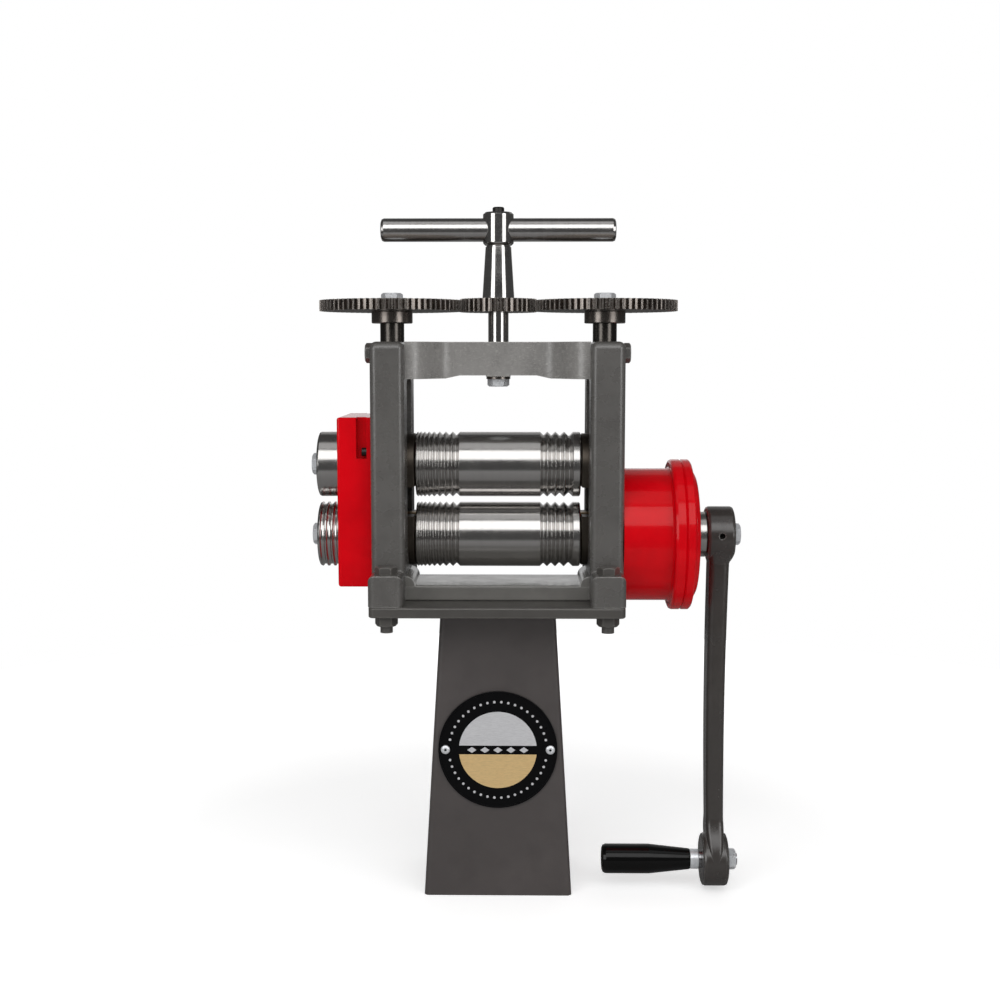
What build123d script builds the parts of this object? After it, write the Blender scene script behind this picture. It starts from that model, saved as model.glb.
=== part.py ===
"""Jewellers rolling mill on a sheet-steel pedestal.

Two grooved steel rolls run in chocks between two cast side frames. A planetary gearbox on the
right drives the lower roll from a crank, two long-toothed gears under the left guard turn the
upper roll with it, and both roll shafts carry a short side roll outside the guard. A T-handle
turns a pinion between the two big gears of the screws that press the upper roll down.

Millimetres, +Z up, +X towards the crank, -Y towards the user. The origin is on the floor, midway
between the side frames and straight below the axes of the two rolls.
"""
import os
from math import acos, cos, pi, radians, sin, sqrt, tan

from build123d import *

os.makedirs("parts", exist_ok=True)

# ---------------------------------------------------------------- driving dimensions

# Fits and gaps
running_fit = 0.05          # radial gap of a shaft in its bush
body_gap = 0.3              # gap between two pieces that move past each other
hole_clearance = 0.5        # radial gap of a bolt in a plain hole

# Pedestal
column_height = 296.5
column_top_width = 113.8
column_foot_width = 149.0
column_front_y = -38.0
column_top_depth = 78.0
column_foot_depth = 116.0
column_wall = 4.0
column_bend_radius = 5.0
foot_plate_thickness = 8.0
foot_hole_spacing_x = 92.0
foot_hole_spacing_y = 70.0
foot_hole_radius = 5.5
top_plate_width = 244.0
top_plate_overhang = 0.5
top_plate_thickness = 10.0
top_plate_corner = 6.0

# Round badge on the pedestal
badge_height = 151.5
badge_radius = 59.5
badge_thickness = 1.5
badge_rim_height = 0.8
badge_rim_width = 1.6
badge_rivet_offset = 52.5
badge_rivet_radius = 4.6
badge_rivet_dome = 2.2
badge_rivet_hole_radius = 1.3

# Side frames
frame_thickness = 33.0
frame_height = 250.8
frame_half_depth = 67.5
frame_edge_radius = 6.5
window_half_width = 31.3
window_top_corner = 9.0
lug_length = 34.5
lug_height = 30.0
lug_corner_radius = 7.0
lug_bolt_inset = 16.5
foot_bolt_end = 6.5

# Bottom crossbar
crossbar_front_y = -62.5
crossbar_depth = 71.0
crossbar_height = 15.0
crossbar_gusset = 9.0
crossbar_bolt_x = 38.0

# Top tie bar
tie_bar_height = 36.0
tie_bar_half_depth = 19.0
tie_bar_end_half_depth = 56.0
tie_bar_flare = 48.0
tie_bar_arch = 3.0
tie_bar_arch_half = 52.0
tie_bar_arch_run = 14.0
spindle_boss_drop = 1.0
spindle_boss_wall = 2.0
tie_bolt_y = 38.0
tie_bolt_reach = 16.0
tie_bolt_drop = 11.0

# Rolls
lower_axis_above_plate = 57.8
rest_roll_gap = 5.9
roll_radius = 32.5
roll_half_length = 82.0
roll_edge_chamfer = 1.2
journal_radius = 19.0
left_grooves = {"start": -80.5, "width": 2.6, "step": 0.63, "land": 0.5, "count": 8}
right_grooves = {"start": 42.0, "width": 6.7, "step": 0.6, "land": 0.8, "count": 4}
groove_depth_share = 0.43
groove_floor_share = 0.12

# Chocks and bushes
chock_radius = 31.0
chock_flat = 21.0
chock_roll_gap = 0.6
chock_outer_recess = 0.4
bush_wall = 3.5
spring_radius = 3.9
spring_wire = 1.6
spring_turns = 9.0
spring_pocket_gap = 0.3
spring_pocket_depth = 8.0
spring_wall = 1.0
thrust_seat_radius = 13.0
thrust_pad_thickness = 5.0

# Left side: synchronising gears, guard and side rolls
sync_teeth = 12
sync_module = 5.35
sync_face = 20.0
sync_gap_from_frame = 6.0
gear_seat_radius = 15.0
side_roll_seat_radius = 13.0
side_roll_width = 22.7
side_roll_edge = 2.2
side_roll_end_wall = 3.0
side_groove_pitch = 6.3
side_groove_width = 5.2
side_groove_depth = 2.1
side_groove_count = 3
guard_reach = 34.1
guard_half_depth = 50.0
guard_top_above_axis = 119.9
guard_bottom_below_axis = 46.1
guard_wall = 3.0
guard_edge_radius = 3.0
guard_hole_gap = 4.0
guard_pocket_width = 15.0
guard_pocket_height = 40.0
guard_ear_thickness = 5.0

# Planetary gearbox
planet_module = 2.0
sun_teeth = 18
planet_teeth = 18
planet_count = 3
planet_face = 16.0
gearbox_radius = 66.5
gearbox_wall = 4.5
gearbox_back_wall = 8.0
gearbox_body_length = 60.0
gearbox_flange_radius = 75.7
gearbox_flange_length = 11.5
cap_flange_length = 9.2
cap_radius = 64.5
cap_nose = 5.3
cap_wall = 6.0
cap_hub_radius = 24.0
cap_hub_length = 16.0
cap_screw_count = 6
carrier_plate = 8.0
carrier_front_plate = 6.0
planet_pin_radius = 6.0
gearbox_screw_y = 42.0
gearbox_screw_z = 33.0

# Crank
crank_shaft_radius = 11.0
sun_seat_radius = 10.0
crank_collar_radius = 22.8
crank_collar_length = 11.5
crank_radius = 333.5
crank_boss_radius = 28.3
crank_boss_width = 27.5
crank_boss_edge = 3.0
crank_grip_boss_radius = 26.5
crank_grip_boss_width = 26.0
crank_arm_top = (19.5, 36.0)
crank_arm_corner = 0.3         # share of the width
crank_neck_start = 16.5
crank_neck_end = 28.5
crank_neck_inset = 0.6
crank_arm_foot = (17.5, 28.0)
crank_flare_height = 45.0
crank_flare = (                # height above the axis of the grip, width, depth
    (26.0, 17.0, 40.0),
    (12.0, 12.5, 51.0),
    (-8.0, 2.0, 44.0),
)
crank_arm_bow = 2.2
crank_foot_inset = 2.2
crank_rest_swing = 2.7       # degrees from hanging straight, towards the user
crank_set_screw_radius = 3.0
crank_set_screw_socket = 1.5
grip_length = 90.0
grip_radius = 14.9
grip_straight = 48.0
grip_neck_radius = 10.5
grip_end_round = 4.0
grip_spindle_radius = 6.0
grip_nut_height = 9.0
ferrule_length = 8.8
ferrule_radius = 10.0

# Screw-down gear
screw_radius = 12.0
adjuster_module = 2.0
big_gear_teeth = 70
pinion_teeth = 36
big_gear_face = 10.5
pinion_face = 13.0
pinion_drop = 1.0
gear_hub_radius = 20.5
gear_hub_length = 12.0
gear_hub_above_frame = 18.4
spindle_radius = 10.2
cone_foot_radius = 16.0
cone_top_radius = 12.8
cone_height = 51.0
handle_hub_radius = 15.3
handle_hub_height = 30.8
handle_hub_gap = 3.0
handle_bar_radius = 11.5
handle_bar_length = 232.5
handle_bar_above_hub_foot = 13.8
handle_bar_end_round = 3.0
handle_groove = 0.9
spindle_washer_thickness = 2.5
spindle_washer_radius = 12.0
lock_screw_height = 5.2
lock_screw_head_radius = 5.8

# Fasteners: thread radius, size across flats and head height of each thread used
bolt_m12 = {"radius": 6.0, "flats": 19.0, "head": 7.5, "nut": 10.0}
bolt_m10 = {"radius": 5.0, "flats": 17.0, "head": 6.4, "nut": 8.0}
socket_m8 = {"radius": 4.0, "head_radius": 6.5, "head": 8.0, "key_flats": 6.0}
socket_m5 = {"radius": 2.5, "head_radius": 4.25, "head": 5.0, "key_flats": 4.0}

# Gear teeth
pressure_angle = radians(20)
sync_pressure_angle = radians(25)
tooth_backlash = 0.16
sync_backlash = 0.35
flank_steps = 3

# ---------------------------------------------------------------- places worked out from them

plate_bottom = column_height
plate_top = plate_bottom + top_plate_thickness
frame_top = plate_top + frame_height
frame_centre_x = adjuster_module * (big_gear_teeth + pinion_teeth) / 2
lug_reach = frame_half_depth + lug_length
lug_bolt_y = lug_reach - lug_bolt_inset
top_plate_depth = 2 * (lug_reach + top_plate_overhang)
frame_inner_x = frame_centre_x - frame_thickness / 2
frame_outer_x = frame_centre_x + frame_thickness / 2
lower_axis = plate_top + lower_axis_above_plate
upper_axis = lower_axis + 2 * roll_radius + rest_roll_gap
tie_bar_bottom = frame_top - tie_bar_height
window_top = tie_bar_bottom
chock_inner_x = roll_half_length + chock_roll_gap
chock_outer_x = frame_outer_x - chock_outer_recess
bush_radius = journal_radius + bush_wall
column_back_top = column_front_y + column_top_depth
column_back_foot = column_front_y + column_foot_depth
crossbar_back_y = crossbar_front_y + crossbar_depth

# Left side, measured outwards from the frame
sync_inner_x = frame_outer_x + sync_gap_from_frame
sync_outer_x = sync_inner_x + sync_face
guard_outer_x = frame_outer_x + guard_reach
side_roll_inner_x = guard_outer_x + body_gap
side_roll_outer_x = side_roll_inner_x + side_roll_width
shaft_end_x = side_roll_outer_x - side_roll_end_wall
guard_top = lower_axis + guard_top_above_axis
guard_bottom = lower_axis - guard_bottom_below_axis

# Right side, measured outwards from the frame
gearbox_floor_x = frame_outer_x + gearbox_back_wall
gearbox_rim_x = frame_outer_x + gearbox_body_length
cap_flange_x = gearbox_rim_x + cap_flange_length
cap_face_x = cap_flange_x + cap_nose
collar_end_x = cap_face_x + body_gap + crank_collar_length
crank_boss_end_x = collar_end_x + crank_boss_width
planet_orbit = planet_module * (sun_teeth + planet_teeth) / 2
ring_teeth = sun_teeth + 2 * planet_teeth
ring_outer_radius = gearbox_radius - gearbox_wall
carrier_inner_x = gearbox_floor_x + body_gap
planet_inner_x = carrier_inner_x + carrier_plate + body_gap
planet_outer_x = planet_inner_x + planet_face
crank_grip_axis = lower_axis - crank_radius

# Screw-down gear, measured up from the frame
hub_bottom = frame_top + gear_hub_above_frame
big_gear_bottom = hub_bottom + gear_hub_length
big_gear_top = big_gear_bottom + big_gear_face
pinion_bottom = big_gear_bottom - pinion_drop
pinion_top = pinion_bottom + pinion_face
cone_top = pinion_top + cone_height
handle_hub_bottom = cone_top + handle_hub_gap
handle_bar_axis = handle_hub_bottom + handle_bar_above_hub_foot
handle_hub_top = handle_hub_bottom + handle_hub_height
screw_foot = upper_axis + chock_radius

# ---------------------------------------------------------------- planes and shared shapes


def along_x(height):
    """Upright plane for pieces turned about a horizontal axis: local x is +X, local y is up."""
    return Plane(origin=(0, 0, height), x_dir=(1, 0, 0), z_dir=(0, -1, 0))


def along_z(x):
    """Upright plane for pieces turned about a vertical axis: local x is up, local y is +X."""
    return Plane(origin=(x, 0, 0), x_dir=(0, 0, 1), z_dir=(0, 1, 0))


def facing_x(x, height=0.0):
    """Plane that faces +X: local x is +Y, local y is up."""
    return Plane(origin=(x, 0, height), x_dir=(0, 1, 0), z_dir=(1, 0, 0))


def facing_user(y, height=0.0):
    """Plane that faces -Y: local x is +X, local y is up."""
    return Plane(origin=(0, y, height), x_dir=(1, 0, 0), z_dir=(0, -1, 0))


def turned(plane, outline):
    """Solid of revolution about the plane's local x, from (along, radius) points."""
    with BuildPart() as blank:
        with BuildSketch(plane):
            with BuildLine():
                Polyline(*outline, close=True)
            make_face()
        revolve(axis=Axis(plane.origin, plane.x_dir))
    return blank.part


def ring_points(start, end, inner, outer, edge=0.0):
    """Outline of a plain ring or rod between two places, with its outer edges chamfered."""
    if edge <= 0:
        return [(start, inner), (start, outer), (end, outer), (end, inner)]
    return [
        (start, inner),
        (start, outer - edge),
        (start + edge, outer),
        (end - edge, outer),
        (end, outer - edge),
        (end, inner),
    ]


def hex_head(radius, shank, flats, height):
    """Hex bolt or nut blank: its seat is the plane z = 0, the head rises and the shank goes down."""
    corner = flats / 2 / cos(pi / 6)
    with BuildPart() as bolt:
        with BuildSketch():
            RegularPolygon(radius=flats / 2, side_count=6, major_radius=False)
        extrude(amount=height)
        with BuildSketch(along_z(0)):
            with BuildLine():
                Polyline((0, 0), (0, corner), (height * 0.8, corner), (height, flats / 2 * 0.96),
                         (height, 0), close=True)
            make_face()
        revolve(axis=Axis.Z, mode=Mode.INTERSECT)
        if shank > 0:
            with BuildSketch():
                Circle(radius)
            extrude(amount=-shank)
    return bolt.part


def hex_nut(radius, flats, height):
    """Hex nut: it sits on the plane z = 0."""
    with BuildPart() as nut:
        add(hex_head(radius, 0, flats, height))
        with BuildSketch():
            Circle(radius)
        extrude(amount=height, mode=Mode.SUBTRACT)
    return nut.part


def socket_screw(radius, shank, head_radius, head, key_flats):
    """Socket head screw: its seat is the plane z = 0, the head rises and the shank goes down."""
    with BuildPart() as screw:
        with BuildSketch():
            Circle(head_radius)
        extrude(amount=head)
        chamfer(screw.edges().group_by(Axis.Z)[-1], head * 0.08)
        with BuildSketch():
            Circle(radius)
        extrude(amount=-shank)
        with BuildSketch(Plane.XY.offset(head * 0.45)):
            RegularPolygon(radius=key_flats / 2, side_count=6, major_radius=False)
        extrude(amount=head, mode=Mode.SUBTRACT)
    return screw.part


def gear_points(teeth, module, addendum, dedendum, thinning, angle, tooth_at=0.0):
    """Outline of an involute gear; tooth_at is the direction, in radians, of one tooth's middle."""
    pitch = module * teeth / 2
    base = pitch * cos(angle)
    tip = pitch + addendum
    root = pitch - dedendum
    flank_start = max(root, base)
    half_at_pitch = (pi * module / 2 - thinning) / 2 / pitch
    involute_at_pitch = tan(angle) - angle

    def half_tooth(radius):
        roll = acos(min(1.0, base / radius))
        return half_at_pitch + involute_at_pitch - (tan(roll) - roll)

    radii = [flank_start + (tip - flank_start) * i / flank_steps for i in range(flank_steps + 1)]
    flank = [(radius, half_tooth(radius)) for radius in radii]
    if root < flank_start:
        flank.insert(0, (root, flank[0][1]))
    points = []
    for tooth in range(teeth):
        middle = tooth_at + 2 * pi * tooth / teeth
        for radius, half in flank:
            points.append((radius * cos(middle - half), radius * sin(middle - half)))
        for radius, half in reversed(flank):
            points.append((radius * cos(middle + half), radius * sin(middle + half)))
    return points


def gear_blank(plane, points, width, bore):
    """Extruded gear with a plain bore."""
    with BuildPart() as gear:
        with BuildSketch(plane):
            with BuildLine():
                Polyline(*points, close=True)
            make_face()
            Circle(bore, mode=Mode.SUBTRACT)
        extrude(amount=width)
    return gear.part


def save(part, name):
    """Labels a finished piece and writes it as its own STEP file."""
    part.label = name
    export_step(part, f"parts/{name}.step")


# ---------------------------------------------------------------- pedestal


def tapered_block(inset, overrun):
    """Solid between the column's foot and top sections, drawn in by the wall and run out behind."""
    corner = max(column_bend_radius - inset, 1.0)
    with BuildPart() as block:
        for height, width, back in (
            (0.0, column_foot_width, column_back_foot),
            (column_height, column_top_width, column_back_top),
        ):
            half = width / 2 - inset
            front = column_front_y + inset
            with BuildSketch(Plane.XY.offset(height)) as section:
                with BuildLine():
                    Polyline((-half, front), (half, front), (half, back + overrun),
                             (-half, back + overrun), close=True)
                make_face()
                fillet(section.vertices().group_by(Axis.Y)[0], corner)
        loft()
    return block.part


with BuildPart() as stand_column:
    add(tapered_block(0.0, 0.0))
    add(tapered_block(column_wall, column_wall), mode=Mode.SUBTRACT)
save(stand_column.part, "stand_column")

column_taper = (column_foot_width - column_top_width) / column_height
foot_inner_width = column_foot_width - 2 * column_wall - column_taper * foot_plate_thickness
foot_front_y = column_front_y + column_wall
foot_depth = column_back_foot - foot_front_y
foot_centre_y = foot_front_y + foot_depth / 2
with BuildPart() as stand_foot_plate:
    with BuildSketch(Plane((0, foot_centre_y, 0))) as foot_outline:
        Rectangle(foot_inner_width, foot_depth)
        fillet(foot_outline.vertices().group_by(Axis.Y)[0], column_bend_radius - column_wall + 1)
        with GridLocations(foot_hole_spacing_x, foot_hole_spacing_y, 2, 2):
            Circle(foot_hole_radius, mode=Mode.SUBTRACT)
    extrude(amount=foot_plate_thickness)
save(stand_foot_plate.part, "stand_foot_plate")

lug_bolt_places = GridLocations(2 * frame_centre_x, 2 * lug_bolt_y, 2, 2)
crossbar_bolt_y = column_front_y + column_top_depth / 2 - 20
crossbar_bolt_places = [(-crossbar_bolt_x, crossbar_bolt_y), (crossbar_bolt_x, crossbar_bolt_y)]
with BuildPart() as stand_top_plate:
    with BuildSketch(Plane.XY.offset(plate_bottom)):
        RectangleRounded(top_plate_width, top_plate_depth, top_plate_corner)
        with lug_bolt_places:
            Circle(bolt_m12["radius"] + hole_clearance, mode=Mode.SUBTRACT)
        with Locations(*crossbar_bolt_places):
            Circle(bolt_m10["radius"] + hole_clearance, mode=Mode.SUBTRACT)
    extrude(amount=top_plate_thickness)
    chamfer(stand_top_plate.faces().filter_by(Axis.Z).edges().filter_by(
        lambda edge: edge.length > top_plate_corner * 2), 1.0)
save(stand_top_plate.part, "stand_top_plate")

# ---------------------------------------------------------------- badge on the pedestal

badge_face_y = column_front_y - badge_thickness
with BuildPart() as badge_plate:
    with BuildSketch(facing_user(column_front_y, badge_height)):
        Circle(badge_radius)
    extrude(amount=badge_thickness)
    with BuildSketch(facing_user(badge_face_y, badge_height)):
        Circle(badge_radius)
        Circle(badge_radius - badge_rim_width, mode=Mode.SUBTRACT)
    extrude(amount=badge_rim_height)
save(badge_plate.part, "badge_plate")

rivet_outline = [
    (0, badge_rivet_hole_radius),
    (0, badge_rivet_radius),
    (badge_rivet_dome * 0.45, badge_rivet_radius * 0.9),
    (badge_rivet_dome * 0.85, badge_rivet_radius * 0.6),
    (badge_rivet_dome, badge_rivet_hole_radius),
]
rivet_head = turned(Plane(origin=(0, 0, 0), x_dir=(0, -1, 0), z_dir=(1, 0, 0)), rivet_outline)
with BuildPart() as badge_rivets:
    with Locations((-badge_rivet_offset, badge_face_y, badge_height),
                   (badge_rivet_offset, badge_face_y, badge_height)):
        add(rivet_head)
save(badge_rivets.part, "badge_rivets")

# ---------------------------------------------------------------- side frames

window_radius = window_half_width
screw_hole_radius = screw_radius + running_fit


def side_frame(inner_x, outer_x):
    """Cast side frame between two x values, with its window, foot lugs and bolt holes."""
    low_x = min(inner_x, outer_x)
    centre_x = (inner_x + outer_x) / 2
    with BuildPart() as frame:
        with BuildSketch(facing_x(low_x)) as profile:
            with Locations((0, plate_top + frame_height / 2)):
                Rectangle(2 * frame_half_depth, frame_height)
            fillet(profile.vertices().group_by(Axis.Z)[-1], lug_corner_radius)
            with Locations((0, plate_top + lug_height / 2)):
                Rectangle(2 * lug_reach, lug_height)
            fillet(profile.vertices().filter_by(
                lambda v: abs(v.Y) > lug_reach - 1 and v.Z > plate_top + 1), lug_corner_radius)
        extrude(amount=frame_thickness)
        outside = frame.edges().filter_by(
            lambda e: abs(e.center().X - centre_x) > frame_thickness / 2 - 0.01
            and e.center().Z > plate_top + 0.5)
        fillet(outside, frame_edge_radius)
        with BuildSketch(facing_x(low_x)) as window:
            with Locations((0, lower_axis)):
                Circle(window_radius)
            with Locations((0, (lower_axis + window_top) / 2)):
                Rectangle(2 * window_radius, window_top - lower_axis)
            fillet(window.vertices().group_by(Axis.Z)[-1], window_top_corner)
        extrude(amount=frame_thickness, mode=Mode.SUBTRACT)
        with BuildSketch(Plane.XY.offset(window_top)):
            with Locations((centre_x, 0)):
                Circle(screw_hole_radius)
        extrude(amount=tie_bar_height, mode=Mode.SUBTRACT)
        with BuildSketch(Plane.XY.offset(plate_top)):
            with Locations((centre_x, -lug_bolt_y), (centre_x, lug_bolt_y)):
                Circle(bolt_m12["radius"] + hole_clearance)
        extrude(amount=lug_height, mode=Mode.SUBTRACT)
        with BuildSketch(facing_x(low_x, frame_top - tie_bolt_drop)):
            with Locations((-tie_bolt_y, 0), (tie_bolt_y, 0)):
                Circle(bolt_m10["radius"] + hole_clearance)
        extrude(amount=frame_thickness, mode=Mode.SUBTRACT)
        if inner_x > 0:
            with BuildSketch(facing_x(low_x, lower_axis)):
                with GridLocations(2 * gearbox_screw_y, 2 * gearbox_screw_z, 2, 2):
                    Circle(socket_m8["radius"])
            extrude(amount=frame_thickness, mode=Mode.SUBTRACT)
        else:
            with BuildSketch(facing_x(low_x)):
                with Locations(*guard_screw_places):
                    Circle(socket_m5["radius"])
            extrude(amount=frame_thickness / 2, mode=Mode.SUBTRACT)
    return frame.part


sync_tip_radius = sync_module * (sync_teeth + 2) / 2
guard_pocket_depth = guard_half_depth - guard_wall - sync_tip_radius - body_gap
guard_screw_y = guard_half_depth - guard_pocket_depth / 2
guard_pocket_bottom = guard_top - guard_pocket_height
guard_screw_z = guard_pocket_bottom + socket_m5["head_radius"] + 2
guard_screw_places = [
    (-guard_screw_y, guard_screw_z),
    (guard_screw_y, guard_screw_z),
]
save(side_frame(-frame_inner_x, -frame_outer_x), "side_frame_left")
save(side_frame(frame_inner_x, frame_outer_x), "side_frame_right")

# ---------------------------------------------------------------- bottom crossbar and top tie bar

with BuildPart() as bottom_crossbar:
    with BuildSketch(facing_x(-frame_inner_x)) as bar_profile:
        with Locations((crossbar_front_y + crossbar_depth / 2, plate_top + crossbar_height / 2)):
            Rectangle(crossbar_depth, crossbar_height)
        fillet(bar_profile.vertices().group_by(Axis.Z)[-1], 2.0)
    extrude(amount=2 * frame_inner_x)
    for side in (-1, 1):
        with BuildSketch(facing_user(crossbar_back_y, plate_top + crossbar_height)):
            with BuildLine():
                Line((side * frame_inner_x, -1.0),
                     (side * (frame_inner_x - crossbar_gusset), -1.0))
                Line((side * (frame_inner_x - crossbar_gusset), -1.0),
                     (side * (frame_inner_x - crossbar_gusset), 0))
                RadiusArc((side * (frame_inner_x - crossbar_gusset), 0),
                          (side * frame_inner_x, crossbar_gusset), side * crossbar_gusset)
                Line((side * frame_inner_x, crossbar_gusset),
                     (side * frame_inner_x, -1.0))
            make_face()
        extrude(amount=crossbar_depth)
    with BuildSketch(Plane.XY.offset(plate_top)):
        with Locations(*crossbar_bolt_places):
            Circle(bolt_m10["radius"])
    extrude(amount=crossbar_height - 2, mode=Mode.SUBTRACT)
save(bottom_crossbar.part, "bottom_crossbar")

tie_bar_half_length = frame_inner_x
spindle_hole_radius = spindle_radius + running_fit
with BuildPart() as top_tie_bar:
    with BuildSketch(Plane.XY.offset(tie_bar_bottom)):
        for side in (-1, 1):
            end = side * tie_bar_half_length
            flare = side * (tie_bar_half_length - tie_bar_flare)
            with BuildLine():
                Line((0, -tie_bar_half_depth), (0, tie_bar_half_depth))
                Line((0, tie_bar_half_depth), (flare, tie_bar_half_depth))
                Spline((flare, tie_bar_half_depth), (end, tie_bar_end_half_depth),
                       tangents=[(side, 0), (side, 0)])
                Line((end, tie_bar_end_half_depth), (end, -tie_bar_end_half_depth))
                Spline((end, -tie_bar_end_half_depth), (flare, -tie_bar_half_depth),
                       tangents=[(-side, 0), (-side, 0)])
                Line((flare, -tie_bar_half_depth), (0, -tie_bar_half_depth))
            make_face()
    extrude(amount=tie_bar_height)
    boss_half = spindle_hole_radius + spindle_boss_wall
    with BuildSketch(facing_user(tie_bar_end_half_depth, tie_bar_bottom)):
        with BuildLine():
            Polyline(
                (-tie_bar_arch_half, 0),
                (tie_bar_arch_run - tie_bar_arch_half, tie_bar_arch),
                (-boss_half, tie_bar_arch),
                (-boss_half, tie_bar_arch - spindle_boss_drop),
                (boss_half, tie_bar_arch - spindle_boss_drop),
                (boss_half, tie_bar_arch),
                (tie_bar_arch_half - tie_bar_arch_run, tie_bar_arch),
                (tie_bar_arch_half, 0),
                close=True,
            )
        make_face()
    extrude(amount=2 * tie_bar_end_half_depth, mode=Mode.SUBTRACT)
    with BuildSketch(Plane.XY.offset(tie_bar_bottom)):
        Circle(spindle_hole_radius)
    extrude(amount=tie_bar_height, mode=Mode.SUBTRACT)
    for side in (-1, 1):
        with BuildSketch(facing_x(side * tie_bar_half_length, frame_top - tie_bolt_drop)):
            with Locations((-tie_bolt_y, 0), (tie_bolt_y, 0)):
                Circle(bolt_m10["radius"])
        extrude(amount=-side * tie_bolt_reach, mode=Mode.SUBTRACT)
save(top_tie_bar.part, "top_tie_bar")

# ---------------------------------------------------------------- fasteners of the frame


def upward(x, y, z):
    """Place for a fastener whose head points up."""
    return Location((x, y, z))


def downward(x, y, z):
    """Place for a fastener whose head points down."""
    return Location((x, y, z), (180, 0, 0))


def outward(x, y, z):
    """Place for a fastener whose head points away from the middle of the mill along X."""
    return Location((x, y, z), (0, 90 if x > 0 else -90, 0))


def group(piece, places):
    """Identical pieces at several places, as separate solids of one node."""
    with BuildPart() as pieces:
        with Locations(*places):
            add(piece)
    return pieces.part


foot_grip = lug_height + top_plate_thickness
foot_bolt_reach = foot_grip + bolt_m12["nut"] + foot_bolt_end
foot_bolt = hex_head(bolt_m12["radius"], foot_bolt_reach, bolt_m12["flats"], bolt_m12["head"])
foot_nut = hex_nut(bolt_m12["radius"], bolt_m12["flats"], bolt_m12["nut"])
foot_places = [(x, y) for x in (-frame_centre_x, frame_centre_x) for y in (-lug_bolt_y, lug_bolt_y)]
lug_top = plate_top + lug_height
save(group(foot_bolt, [upward(x, y, lug_top) for x, y in foot_places]), "foot_bolts")
save(group(foot_nut, [downward(x, y, plate_bottom) for x, y in foot_places]), "foot_nuts")

crossbar_bolt = hex_head(bolt_m10["radius"], top_plate_thickness + crossbar_height - 4,
                         bolt_m10["flats"], bolt_m10["head"])
save(group(crossbar_bolt, [downward(x, y, plate_bottom) for x, y in crossbar_bolt_places]),
     "crossbar_bolts")

tie_bolt = hex_head(bolt_m10["radius"], frame_thickness + tie_bolt_reach - 2, bolt_m10["flats"],
                    bolt_m10["head"])
tie_places = [outward(x, y, frame_top - tie_bolt_drop)
              for x in (-frame_outer_x, frame_outer_x) for y in (-tie_bolt_y, tie_bolt_y)]
save(group(tie_bolt, tie_places), "tie_bolts")

# ---------------------------------------------------------------- chocks, bushes and lift springs

spring_pocket_radius = spring_radius + spring_wire / 2 + spring_pocket_gap
spring_y = chock_radius - spring_wall - spring_pocket_radius
chock_length = chock_outer_x - chock_inner_x
spring_floor = lower_axis + chock_flat - spring_pocket_depth
spring_ceiling = upper_axis - chock_flat + spring_pocket_depth
spring_places = [(x * frame_centre_x, y * spring_y) for x in (-1, 1) for y in (-1, 1)]


def chock(axis, outward_sign):
    """Chock of the right-hand side: half round away from the nip, flat towards it."""
    with BuildPart() as block:
        with BuildSketch(facing_x(chock_inner_x, axis)):
            Circle(chock_radius)
            with Locations((0, -outward_sign * chock_flat / 2)):
                Rectangle(2 * chock_radius, chock_flat)
            with Locations((0, -outward_sign * (chock_flat + chock_radius / 2))):
                Rectangle(3 * chock_radius, chock_radius, mode=Mode.SUBTRACT)
            Circle(bush_radius, mode=Mode.SUBTRACT)
        extrude(amount=chock_length)
        chamfer(block.faces().sort_by(Axis.X)[0].outer_wire().edges(), 1.0)
        pocket_plane = Plane.XY.offset(axis - outward_sign * chock_flat)
        with BuildSketch(pocket_plane):
            with Locations((frame_centre_x, -spring_y), (frame_centre_x, spring_y)):
                Circle(spring_pocket_radius)
        extrude(amount=outward_sign * spring_pocket_depth, mode=Mode.SUBTRACT)
        if outward_sign > 0:
            with BuildSketch(Plane.XY.offset(screw_foot - thrust_pad_thickness)):
                with Locations((frame_centre_x, 0)):
                    Circle(thrust_seat_radius + body_gap / 2)
            extrude(amount=thrust_pad_thickness * 2, mode=Mode.SUBTRACT)
    return block.part


def both_sides(piece):
    """A right-hand piece and its mirror image on the left."""
    with BuildPart() as pair:
        add(piece)
        mirror(piece, about=Plane.YZ)
    return pair.part


bush = turned(along_x(0), ring_points(chock_inner_x, chock_outer_x, journal_radius + running_fit,
                                      bush_radius))
save(both_sides(chock(lower_axis, -1)), "lower_chocks")
save(both_sides(chock(upper_axis, 1)), "upper_chocks")
save(both_sides(bush.moved(Location((0, 0, lower_axis)))), "lower_bushes")
save(both_sides(bush.moved(Location((0, 0, upper_axis)))), "upper_bushes")

with BuildPart() as thrust_pads:
    with BuildSketch(Plane.XY.offset(screw_foot - thrust_pad_thickness)):
        with Locations((-frame_centre_x, 0), (frame_centre_x, 0)):
            Circle(thrust_seat_radius)
    extrude(amount=thrust_pad_thickness)
save(thrust_pads.part, "thrust_pads")

spring_height = spring_ceiling - spring_floor
spring_pitch = (spring_height - spring_wire) / spring_turns
with BuildPart() as lift_spring:
    with BuildLine(Plane.XY.offset(spring_floor + spring_wire / 2)) as coil:
        Helix(pitch=spring_pitch, height=spring_height - spring_wire, radius=spring_radius)
    with BuildSketch(Plane(origin=coil.line @ 0, z_dir=coil.line % 0)):
        Circle(spring_wire / 2)
    sweep(is_frenet=True)
    with BuildSketch(Plane.XY.offset(spring_floor)):
        Rectangle(4 * spring_radius, 4 * spring_radius)
    extrude(amount=spring_height, mode=Mode.INTERSECT)
save(group(lift_spring.part, [Location((x, y, 0)) for x, y in spring_places]), "lift_springs")

# ---------------------------------------------------------------- left guard

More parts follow.
